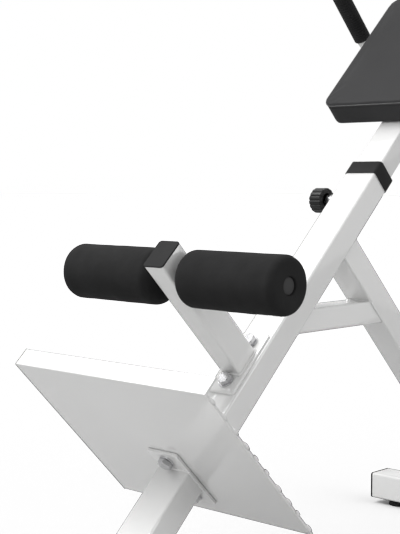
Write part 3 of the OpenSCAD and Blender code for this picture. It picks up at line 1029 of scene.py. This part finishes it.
@dataclass(frozen=True)
class Base:
    """The two floor tubes with their plugs, feet, saddles and bolts."""

    bolt_spread: float = 47.0
    bolt_length: float = 18.0
    edge: float = 0.8
    foot_edge: float = 1.2
    bolt_turns: tuple[tuple[str, float], ...] = (("front", 0.3), ("rear", 0.8))
    side_turn: float = 0.4

    def build(self, trees: Trees) -> None:
        """Builds every piece of the base."""
        for end in ("front", "rear"):
            refined(f"{end}_floor_tube", SCUFFED_PAINT, TUBE_EDGE)
            refined(f"{end}_saddle", WHITE_PAINT, self.edge)
            for side in Side:
                refined(f"{end}_{side.word}_end_cap", BLACK_PLASTIC, self.edge)
                refined(f"{end}_{side.word}_foot", RUBBER, self.foot_edge, 3)
        spots = []
        for end, turn in self.bolt_turns:
            low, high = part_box(f"{end}_saddle")
            for side in Side:
                place = Vector(((low.x + high.x) / 2, side.value * self.bolt_spread * MM, high.z))
                spots.append((place, Vector((0, 0, 1)), turn + self.side_turn * side.value))
        FastenerSet("saddle_bolts", spots).build(trees, M10.bolt(self.bolt_length))
        kept("saddle_nuts", ZINC)


# ---------------------------------------------------------------- foot end


@dataclass(frozen=True)
class FootEnd:
    """The footplate with its tread, the lower tube, and the bolted flanges."""

    width: float = 377.0
    toe: float = -110.0
    heel: float = 198.0
    thick: float = 4.0
    lip: float = 29.4
    bend: float = 1.8
    fillet: float = 1.2
    edge: float = 0.7
    bolts: tuple[float, float] = (18.5, -63.5)
    lower_face: float = -4.0
    upper_face: float = 10.0
    past_nut: float = 3.0
    head_turn: float = 0.2
    nut_turn: float = 0.6
    next_turn: float = 0.5
    tread_rows: int = 10
    tread_columns: int = 13
    tread_margin: float = 2.5
    tread_start: float = 14.0
    tread_bare: float = 40.0

    def build(self, trees: Trees) -> None:
        """Builds every piece of the foot end."""
        self.plate()
        self.tread(trees)
        refined("lower_tube", WHITE_PAINT, TUBE_EDGE)
        refined("lower_flange", WHITE_PAINT, PLATE_EDGE, 3)
        refined("beam_flange", WHITE_PAINT, PLATE_EDGE, 3)
        self.fasteners(trees)

    def plate(self) -> bpy.types.Object:
        """Builds the plate with its turned lip and broken edges."""
        t, e, r, f = self.thick, self.edge, self.bend, self.fillet
        outline = arc((e, self.toe + e), e, 180, 270, 4)
        outline += arc((t - e, self.toe + e), e, 270, 360, 4)
        outline += arc((t + f, self.heel - t - f), f, 180, 90, 6)
        outline += arc((self.lip - e, self.heel - t + e), e, 270, 360, 4)
        outline += arc((self.lip - e, self.heel - e), e, 0, 90, 4)
        outline += arc((r, self.heel - r), r, 90, 180, 8)
        rings = []
        for step in range(5):
            angle = math.pi / 2 * step / 4
            across, inset = e * (1 - math.sin(angle)), e * (1 - math.cos(angle))
            rings.append((-self.width / 2 + across, inset))
        levels = rings + [(-across, inset) for across, inset in reversed(rings)]
        shape = loft([self._ring(outline, across, inset) for across, inset in levels])
        piece = publish("footplate_pressed", shape, 30.0)
        return dress(piece, WHITE_PAINT, "white_paint", Body.FRAME, "footplate")

    @staticmethod
    def _ring(outline: Sequence[tuple[float, float]], across: float, inset: float) -> Ring:
        """The outline at one place across the plate, shrunk by inset."""
        ring = []
        count = len(outline)
        for i, (x, z) in enumerate(outline):
            before, after = outline[i - 1], outline[(i + 1) % count]
            run = Vector((after[0] - before[0], after[1] - before[1])).normalized()
            ring.append(BEAM.at(x - run.y * inset, across, z + run.x * inset))
        return ring

    def tread(self, trees: Trees) -> bpy.types.Object:
        """Covers the standing face with raised lugs."""
        edge = (self.width / 2 - 0.2) * MM
        pitch = (self.width - 2 * self.tread_margin) / (self.tread_columns - 1)
        piece = point_cloud("footplate_tread", ())
        run_tree(
            piece,
            trees.tread,
            {
                "Columns": self.tread_columns,
                "Rows": self.tread_rows,
                "Pitch": pitch * MM,
                "Bare Half Width": self.tread_bare * MM,
                "Material": WHITE_PAINT.material(),
            },
        )
        for vertex in piece.data.vertices:
            vertex.co.x = max(-edge, min(edge, vertex.co.x))
        centre = self.toe + self.tread_start + pitch * (self.tread_rows - 1) / 2
        piece.data.transform(BEAM.placed(self.thick, 0, centre, FACE_ALONG))
        return dress(piece, WHITE_PAINT, "white_paint", Body.FRAME)

    def fasteners(self, trees: Trees) -> None:
        """Builds the flange bolts with their washers and nuts."""
        back = BEAM.along(-1, 0, 0)
        head = self.lower_face - M12.washer
        far = self.upper_face + M12.washer
        shank = far - head + M12.nut + self.past_nut

        def row(up: float, turn: float) -> list[Spot]:
            """One fastener at each bolt, at one place up the beam."""
            places = [BEAM.at(up, 0, out) for out in self.bolts]
            return bolt_row(places, back, turn, self.next_turn)

        FastenerSet("flange_bolts", row(head, self.head_turn)).build(trees, M12.bolt(shank))
        washers = row(self.lower_face, 0.0) + row(far, 0.0)
        FastenerSet("flange_washers", washers).build(trees, M12.washer_template())
        nuts = row(far + M12.nut, self.nut_turn)
        FastenerSet("flange_nuts", nuts).build(trees, M12.nut_template())


# ---------------------------------------------------------------- beam and rear frame


@dataclass(frozen=True)
class FrameTubes:
    """The main beam, the rear leg and the brace, with every weld of the frame."""

    beam_width: float = 60.0
    beam_depth: float = 45.0
    leg_at: float = 477.5
    leg_depth: float = 45.0
    leg_width: float = 50.0
    brace_height: float = 37.5
    slope: float = 44.0
    lower_face: float = -4.0
    post_at: float = 192.0
    post_foot: float = 4.0
    post_depth: float = 48.0
    post_width: float = 38.0

    def build(self, trees: Trees) -> None:
        """Builds the tubes and their welds."""
        for node in ("main_beam", "rear_leg", "brace"):
            refined(node, WHITE_PAINT, TUBE_EDGE)
        WeldSet("frame_welds", self.welds()).build(trees)

    def welds(self) -> tuple[Weld, ...]:
        """Lists the beads: at the flanges, the leg, the brace and the saddles."""
        sine, cosine = math.sin(math.radians(self.slope)), math.cos(math.radians(self.slope))
        under = -self.beam_depth
        brace = middle("brace")
        start = BEAM.at(0)
        rise = (brace.z - start.z) / MM
        brace_up = (rise - under * cosine) / sine
        leg_face = self.leg_at - self.leg_depth / 2
        brace_out = (rise - leg_face * sine) / cosine
        brace_high, brace_long = self.brace_height / sine, self.brace_height / cosine
        rows = (
            (self.lower_face, under / 2, FACE_BACK, self.beam_width, self.beam_depth),
            (self.leg_at, under, FACE_DOWN, self.leg_depth, self.leg_width),
            (brace_up, under, FACE_DOWN, brace_high, self.leg_width),
            (leg_face, brace_out, FACE_BACK, self.leg_width, brace_long),
            (self.post_at, self.post_foot, None, self.post_depth, self.post_width),
        )
        welds = [Weld(BEAM.placed(up, 0, out, turn), w, h) for up, out, turn, w, h in rows]
        for node, length, width in (
            ("front_saddle", self.beam_depth / sine, self.beam_width),
            ("rear_saddle", self.leg_depth / cosine, self.leg_width),
        ):
            low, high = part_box(node)
            place = Vector(((low.x + high.x) / 2, 0, high.z))
            welds.append(Weld(Matrix.Translation(place), length, width))
        return tuple(welds)


# ---------------------------------------------------------------- rollers


@dataclass(frozen=True)
class RollerPost:
    """The roller post with its flange, cap and bolts, and the axle."""

    bolts: tuple[float, float] = (154.0, 229.0)
    flange: float = 4.0
    wall: float = 2.0
    head_turn: float = math.pi / 6
    nut_turn: float = 0.3
    next_turn: float = 0.08
    past_nut: float = 2.0

    def build(self, trees: Trees) -> None:
        """Builds the post's pieces."""
        refined("post_flange", WHITE_PAINT, PLATE_EDGE, 3)
        refined("roller_post", WHITE_PAINT, TUBE_EDGE)
        refined("post_cap", BLACK_PLASTIC, 0.7, 3)
        refined("roller_axle", ZINC, 0.8)
        up = BEAM.along(0, 0, 1)
        under = self.flange + M12.washer
        shank = under + self.wall + M12.nut + self.past_nut

        def row(out: float, turn: float) -> list[Spot]:
            """One fastener at each bolt, at one height above the beam."""
            places = [BEAM.at(b, 0, out) for b in self.bolts]
            return bolt_row(places, up, turn, self.next_turn)

        FastenerSet("post_bolts", row(under, self.head_turn)).build(trees, M12.bolt(shank))
        FastenerSet("post_washers", row(self.flange, 0.0)).build(trees, M12.washer_template())
        nuts = row(-self.wall - M12.nut, self.nut_turn)
        FastenerSet("post_nuts", nuts).build(trees, M12.nut_template())


@dataclass(frozen=True)
class FoamRoller:
    """One foam roller on its core, with its spacer and end plug."""

    side: Side
    radius: float = 41.0
    bore: float = 12.5
    inner: float = 29.0
    length: float = 178.0
    edge: float = 11.0
    lip: float = 2.5
    unevenness: float = 0.35
    lump: float = 26.0
    lumps_round: float = 2.2

    @property
    def body(self) -> str:
        """The body that the roller turns with."""
        return f"{self.side.word}_roller"

    def build(self) -> None:
        """Builds the roller's pieces."""
        refined(f"{self.side.word}_spacer", BLACK_PLASTIC, 0.5)
        refined(f"{self.side.word}_roller_core", GREY_NYLON, 0.5)
        self.plug()
        self.foam()

    @property
    def axis(self) -> Matrix:
        """The roller's own frame, with z pointing outwards along the axle."""
        turn = Matrix.Rotation(-math.pi / 2 * self.side.value, 4, "X")
        return BEAM.placed(AXLE_UP, 0, AXLE_OUT, turn)

    def plug(self) -> bpy.types.Object:
        """Turns the shallow domed plug on the axle's end."""
        r, foot, rise = self.bore - 0.4, self.inner + self.length - 8, 5.0
        profile = [(0.0, foot), (r, foot), *arc((r - 1.6, foot + rise - 1.6), 1.6, 0, 78, 5)]
        profile += [(7.0, foot + rise + 0.35), (0.0, foot + rise + 0.5)]
        name = f"{self.side.word}_axle_plug"
        piece = publish(f"{name}_domed", lathe(profile, self.axis, 48), 40.0)
        return dress(piece, GREY_NYLON, SLOT_OF[name], BODY_OF[name], name)

    def foam(self) -> bpy.types.Object:
        """Turns the foam sleeve, with rounded ends, a dished rim and a slightly uneven skin."""
        r, e, long, lip = self.radius, self.edge, self.length, self.lip
        first, last = self.inner, self.inner + long
        profile = [(self.bore, first + 2), *arc((self.bore + lip, first + lip), lip, 190, 262, 4)]
        profile += arc((r - e, first + e), e, 270, 360, 10)
        profile += [(r, first + e + (long - 2 * e) * i / 44) for i in range(1, 44)]
        profile += arc((r - e, last - e), e, 0, 90, 10)
        profile += arc((self.bore + lip, last - lip), lip, 98, 170, 4)
        profile.append((self.bore, last - 4))

        def ripple(radius: float, height: float, angle: float) -> float:
            """The skin's unevenness, which fades out towards the bore."""
            free = self.bore + 4
            grip = max(0.0, (radius - free) / (self.radius - free))
            x, y = self.lumps_round * math.cos(angle), self.lumps_round * math.sin(angle)
            spot = Vector((x, y, height / self.lump + 9 * self.side.value))
            return grip * (self.unevenness * noise.noise(spot) - self.unevenness)

        shape = lathe(profile, self.axis, 112, loop=True, ripple=ripple)
        piece = publish(f"{self.side.word}_foam", shape, 50.0)
        dress(piece, FOAM, "roller_foam", self.body, f"{self.side.word}_roller_foam")
        return piece


# ---------------------------------------------------------------- slide and lock


@dataclass(frozen=True)
class LockKnob:
    """The collar, and the sprung locking pin with its ribbed knob."""

    at: float = 560.0
    out: float = -22.5
    near: float = 56.0
    far: float = 79.0
    radius: float = 20.8
    cup: float = 12.0
    cup_depth: float = 15.0
    cup_lip: float = 0.8
    edge: float = 1.6
    rim: float = 2.6
    ribs: int = 16
    groove: float = 1.5

    def build(self) -> None:
        """Builds the slide's and the lock's pieces."""
        refined("guide_collar", BLACK_PLASTIC, 0.7, 3)
        refined("pin_housing", ZINC, 0.7)
        refined("lock_pin", ZINC, 0.4)
        kept("pin_spring", ZINC)
        self.knob()

    def knob(self) -> bpy.types.Object:
        """Turns the knob, with broad ribs and narrow grooves round its grip."""
        r, near, far, cup, lip = self.radius, self.near, self.far, self.cup, self.cup_lip
        bed, dish, rim, edge = near + self.cup_depth, far - 0.7, self.rim, self.edge
        profile = [(0.0, bed), (cup - 1, bed), (cup, bed - 1), (cup, near + lip)]
        profile += arc((cup + lip, near + lip), lip, 180, 270, 3)
        profile += arc((r - edge, near + edge), edge, 270, 360, 5)
        profile += [(r, near + 7), (r, far - 9)]
        profile += arc((r - rim, far - rim), rim, 0, 90, 6)
        profile += [(13.5, far), (12.7, far - 0.5), (11.5, dish), (0.0, dish)]
        matrix = BEAM.placed(self.at, 0, self.out, Matrix.Rotation(-math.pi / 2, 4, "X"))

        def ripple(radius: float, _height: float, angle: float) -> float:
            """The grooves between the ribs, which fade out at the cup."""
            past = radius - self.cup - 2.5
            if past < 0:
                return 0.0
            share = min(1.0, past / 4)
            wave = 0.5 + 0.5 * math.cos(self.ribs * angle)
            return -self.groove * share * wave**5

        piece = publish("ribbed_knob", lathe(profile, matrix, 16 * self.ribs, ripple=ripple), 40.0)
        return dress(piece, KNOB_PLASTIC, SLOT_OF["pin_knob"], Body.PIN, "pin_knob")


# ---------------------------------------------------------------- pad


@dataclass(frozen=True)
class StitchRow:
    """A closed row of stitches or staples: each one's pitch, length and thickness in mm."""

    name: str
    finish: Finish
    slot: str
    pitch: float
    length: float
    thickness: float

    def build(self, path: Ring, trees: Trees) -> bpy.types.Object:
        """Lays the row along a path in the world."""
        piece = path_object(self.name, [(path, True)])
        sizes = {
            "Pitch": self.pitch * MM,
            "Length": self.length * MM,
            "Thickness": self.thickness * MM,
            "Material": self.finish.material(),
        }
        run_tree(piece, trees.stitches, sizes)
        return dress(piece, self.finish, self.slot, Body.CARRIAGE)


@dataclass(frozen=True)
class HipPad:
    """The upholstered pad: a stuffed cover with a welted seam, on a stapled board."""

    start: float = 728.0
    length: float = 300.0
    width: float = 260.0
    height: float = 45.0
    corner: float = 24.0
    top_edge: float = 4.5
    low_edge: float = 3.5
    drop: float = 2.0
    seam: float = 39.8
    voxel: float = 3.4
    frames: int = 20
    give: float = 1.0
    wave: float = 0.5
    waves: float = 26.0
    board_inset: float = 8.0
    hem: float = 4.0
    staple_inset: float = 9.0
    welt_radius: float = 1.15
    welt_lift: float = 0.3
    welt_steps: int = 10
    stitch_drop: float = 4.0
    stitch_lift: float = 0.05
    screw_at: tuple[float, float] = (785.0, 935.0)
    screw_side: float = 60.0
    screw_face: float = -3.0
    screw_length: float = 14.0

    def build(self, trees: Trees) -> None:
        """Builds the pad's pieces."""
        local = self.cover()
        skin = BVHTree.FromObject(local, bpy.context.evaluated_depsgraph_get())
        local.data.transform(BEAM.matrix)
        dress(local, VINYL, "pad_vinyl", Body.CARRIAGE, "pad_cushion")
        self.welt(skin)
        self.stitches(skin, trees)
        kept("pad_board", BACKING)
        self.backing(trees)
        down = BEAM.along(0, 0, -1)
        spots = []
        for up in self.screw_at:
            for side in Side:
                place = BEAM.at(up, side.value * self.screw_side, self.screw_face)
                spots.append((place, down, 0.01 * up * side.value))
        FastenerSet("pad_screws", spots).build(trees, M8.bolt(self.screw_length))
        refined("pad_bracket", WHITE_PAINT, 0.5)

    @property
    def centre(self) -> float:
        """The pad's middle, measured up the beam."""
        return self.start + self.length / 2

    def outline(self, grow: float, level: float, steps: int = 8) -> Ring:
        """The pad's outline in the beam's axes, grown by grow, at one height."""
        corner = max(self.corner + grow, 2.0)
        points = rounded_outline(self.length + 2 * grow, self.width + 2 * grow, corner, steps)
        return [Vector((x + self.centre, y, level)) * MM for x, y in points]

    def cover(self) -> bpy.types.Object:
        """Stuffs the cover: a rounded block, then cloth under pressure."""
        low, top, h = self.low_edge, self.top_edge, self.height
        rings = [self.outline(x, z) for x, z in arc((-low, low - self.drop), low, 270, 360, 5)]
        rings += [self.outline(x, z) for x, z in arc((-top, h - top), top, 0, 90, 5)]
        block = publish("stuffed_cover", loft(rings), 60.0)
        remesh = block.modifiers.new("voxels", "REMESH")
        remesh.mode = "VOXEL"
        remesh.voxel_size = self.voxel * MM
        settle(block)
        self.stuff(block)
        finer = block.modifiers.new("finer", "SUBSURF")
        finer.levels = finer.render_levels = 1
        settle(block)
        shade(block.data, 75.0)
        return block

    def stuff(self, block: bpy.types.Object) -> None:
        """Puffs the cover up with a short cloth simulation, and caps how far it moves.

        Args:
            block: the cover in the beam's axes, which is changed.
        """
        rest = [v.co.copy() for v in block.data.vertices]
        held = block.vertex_groups.new(name="held")
        for i, point in enumerate(rest):
            level = point.z / MM
            if level < self.low_edge or abs(level - self.seam) < self.voxel * 0.6:
                held.add([i], 1.0, "REPLACE")
        cloth = block.modifiers.new("stuffing", "CLOTH")
        cloth.settings.vertex_group_mass = held.name
        cloth.settings.use_pressure = True
        cloth.settings.uniform_pressure_force = 4.0
        cloth.settings.effector_weights.gravity = 0.0
        cloth.settings.tension_stiffness = 30.0
        cloth.settings.bending_stiffness = 4.0
        cloth.point_cache.frame_start = 1
        cloth.point_cache.frame_end = self.frames
        for number in range(1, self.frames + 1):
            bpy.context.scene.frame_set(number)
        settle(block)
        bpy.context.scene.frame_set(1)
        for vertex, old in zip(block.data.vertices, rest):
            move = vertex.co - old
            if move.length > self.give * MM:
                move *= self.give * MM / move.length
            wave = noise.noise(old * self.waves) * self.wave * MM
            vertex.co = old + move
            if old.z / MM > self.height - 2:
                vertex.co.z += wave

    def seam_path(self, skin: BVHTree, level: float, lift: float) -> Ring:
        """The line that the cover's side makes at one height.

        Args:
            skin: the cover's surface in the beam's axes.
            level: the height above the board's underside, in mm.
            lift: how far off the surface the line runs, in mm.

        Returns:
            Points of the line in the world.
        """
        path = []
        for outer, inner in zip(self.outline(12, level, 16), self.outline(-22, level, 16)):
            way = (inner - outer).normalized()
            hit = skin.ray_cast(outer, way)[0]
            path.append(BEAM.matrix @ (hit - way * lift * MM))
        dense: Ring = []
        for a, b in zip(path, path[1:] + path[:1]):
            pieces = max(1, round((b - a).length / 0.006))
            dense += [a.lerp(b, i / pieces) for i in range(pieces)]
        return dense

    def welt(self, skin: BVHTree) -> bpy.types.Object:
        """Builds the thin welt along the cover's upper seam, in the cover's vinyl painted lighter as a painted
        highlight.
        """
        path = self.seam_path(skin, self.seam, self.welt_lift)
        up = BEAM.along(0, 0, 1)
        rings = []
        for i, point in enumerate(path):
            run = (path[(i + 1) % len(path)] - path[i - 1]).normalized()
            side = run.cross(up).normalized()
            ring = []
            for k in range(self.welt_steps):
                angle = math.tau * k / self.welt_steps
                way = side * math.cos(angle) + up * math.sin(angle)
                ring.append(point + way * self.welt_radius * MM)
            rings.append(ring)
        piece = publish("cover_welt", loft(rings, loop=True), 60.0)
        # Lighter than the cover's vinyl: a painted highlight along the seam.
        return dress(piece, WELT_PAINTED_HIGHLIGHT, "pad_vinyl", Body.CARRIAGE)

    def stitches(self, skin: BVHTree, trees: Trees) -> bpy.types.Object:
        """Sews a row of stitches just below the welt."""
        path = self.seam_path(skin, self.seam - self.stitch_drop, self.stitch_lift)
        row = StitchRow("cover_stitches", THREAD, "pad_vinyl", pitch=5.0, length=3.6, thickness=0.75)
        return row.build(path, trees)

    def backing(self, trees: Trees) -> None:
        """Covers the board's underside with cloth, held by staples."""
        hem, line = -self.board_inset - self.hem, -self.board_inset - self.staple_inset
        rings = [self.outline(hem, -self.drop - thick) for thick in (0.1, 0.5)]
        cloth = publish("backing_cloth", loft(rings), 40.0)
        cloth.data.transform(BEAM.matrix)
        dress(cloth, BACKING, "pad_board", Body.CARRIAGE)
        path = [BEAM.matrix @ point for point in self.outline(line, -self.drop - 0.6)]
        row = StitchRow("backing_staples", ZINC, "zinc_steel", pitch=26.0, length=11.0, thickness=1.1)
        row.build(path, trees)


@dataclass(frozen=True)
class PadPost:
    """The sliding tube that carries the pad, and the handlebar with its grips."""

    bar_at: float = 985.0
    bar_side: float = 205.0
    bar_radius: float = 12.7
    grip_radius: float = 16.0
    grip_top: float = 95.0
    grip_length: float = 105.0
    rib_pitch: float = 5.0
    rib_depth: float = 0.9

    def build(self) -> None:
        """Builds the pad post's pieces."""
        refined("inner_tube", WHITE_PAINT, TUBE_EDGE)
        refined("inner_tube_shoe", GREY_NYLON, 0.5)
        refined("inner_tube_cap", BLACK_PLASTIC, 0.6)
        refined("handlebar", WHITE_PAINT, TUBE_EDGE)
        for side in Side:
            self.grip(side)
            refined(f"{side.word}_bar_cap", BLACK_PLASTIC, 0.9, 3)

    def grip(self, side: Side) -> bpy.types.Object:
        """Turns a hand grip with ribs round it."""
        r, e, long = self.grip_radius, 1.5, self.grip_length
        valley = r - self.rib_depth
        profile = [(self.bar_radius, 0.0), *arc((r - e, e), e, 270, 360, 4)]
        ribs = int((long - 16) / self.rib_pitch)
        for i in range(ribs):
            foot = 8 + i * self.rib_pitch
            profile += [(r, foot), (valley, foot + 0.8), (valley, foot + 1.4), (r, foot + 2.2)]
        profile += [*arc((r - e, long - e), e, 0, 90, 4), (self.bar_radius, long)]
        matrix = BEAM.placed(self.bar_at, side.value * self.bar_side, self.grip_top - long)
        piece = publish(f"{side.word}_ribbed_grip", lathe(profile, matrix, 48, loop=True), 50.0)
        return dress(piece, RUBBER, "foot_rubber", Body.CARRIAGE, f"{side.word}_grip")


# ---------------------------------------------------------------- studio


@dataclass(frozen=True)
class Softbox:
    """A soft area light aimed at a point."""

    name: str
    place: tuple[float, float, float]
    size: float
    power: float

    def build(self, target: Vector) -> bpy.types.Object:
        """Hangs the light and aims it."""
        lamp = bpy.data.lights.new(self.name, "AREA")
        lamp.shape = "SQUARE"
        lamp.size = self.size
        lamp.energy = self.power
        made = linked(self.name, lamp)
        made.location = self.place
        made.rotation_euler = (target - Vector(self.place)).to_track_quat("-Z", "Y").to_euler()
        return made


@dataclass(frozen=True)
class Studio:
    """The pale floor, the lights and the camera; the room is dark along dark_way."""

    dark_way: tuple[float, float, float] = (-0.72, -0.69, 0.03)
    dark_from: float = 0.6
    dark_to: float = 0.95
    dark: float = 0.12
    world: float = 0.72
    reach: float = 40.0
    aim: tuple[float, float, float] = (0.0, 0.0, 0.45)
    camera: tuple[float, float, float] = (-1.5850, -1.2404, 0.6575)
    heading: float = 43.77
    pitch: float = -4.0
    lens: float = 84.18
    softboxes: tuple[Softbox, ...] = (
        Softbox("key", (-1.2, 1.0, 2.6), 1.8, 66.0),
        Softbox("fill", (-2.6, -0.6, 1.2), 1.6, 11.0),
        Softbox("side", (0.6, -3.0, 0.8), 1.8, 19.0),
    )

    def build(self) -> None:
        """Sets up the studio."""
        self.floor()
        self.sky()
        for light in self.softboxes:
            light.build(Vector(self.aim))
        self.shoot()
        bpy.context.scene.view_settings.view_transform = "Standard"

    def floor(self) -> bpy.types.Object:
        """Lays the pale floor."""
        shape = bmesh.new()
        bmesh.ops.create_grid(shape, x_segments=1, y_segments=1, size=self.reach)
        made = publish("floor", shape)
        made.data.materials.append(STUDIO_FLOOR.material())
        made.is_shadow_catcher = True
        return made

    def sky(self) -> None:
        """Lights the room evenly, with a white backdrop behind everything."""
        world = bpy.data.worlds.new("studio_world")
        world.use_nodes = True
        bpy.context.scene.world = world
        kit = TreeKit(world.node_tree)
        world.node_tree.nodes.clear()
        ray = kit.add("ShaderNodeLightPath").outputs["Is Camera Ray"]
        way = kit.add("ShaderNodeTexCoord").outputs["Generated"]
        behind = kit.add(
            "ShaderNodeVectorMath", {0: way, 1: self.dark_way}, operation="DOT_PRODUCT"
        ).outputs["Value"]
        glow = kit.add(
            "ShaderNodeMapRange",
            {
                "Value": behind,
                "From Min": self.dark_from,
                "From Max": self.dark_to,
                "To Min": self.world,
                "To Max": self.dark,
            },
        ).outputs["Result"]
        room = kit.add("ShaderNodeBackground", {"Color": (1, 1, 1, 1), "Strength": glow})
        white = kit.add("ShaderNodeBackground", {"Color": (1, 1, 1, 1), "Strength": 1.0})
        both = kit.add("ShaderNodeMixShader", {0: ray, 1: room.outputs[0], 2: white.outputs[0]})
        kit.add("ShaderNodeOutputWorld", {"Surface": both.outputs[0]})

    def shoot(self) -> None:
        """Places the camera."""
        lens = bpy.data.cameras.new("camera")
        lens.lens = self.lens
        lens.sensor_width = 36.0
        made = linked("camera", lens)
        turn, tilt = math.radians(self.heading), math.radians(self.pitch)
        level = math.cos(tilt)
        way = Vector((math.cos(turn) * level, math.sin(turn) * level, math.sin(tilt)))
        made.location = self.camera
        made.rotation_euler = way.to_track_quat("-Z", "Y").to_euler()
        bpy.context.scene.camera = made


def main() -> None:
    """Builds the whole object, from the floor up, and then the studio."""
    logging.basicConfig(level=logging.INFO, format="%(name)s: %(message)s")
    trees = Trees(fastener_tree(), bead_tree(), stitch_tree(), tread_tree())
    Base().build(trees)
    FootEnd().build(trees)
    FrameTubes().build(trees)
    RollerPost().build(trees)
    for side in Side:
        FoamRoller(side).build()
    LockKnob().build()
    PadPost().build()
    HipPad().build(trees)
    Studio().build()


if __name__ == "__main__":
    main()
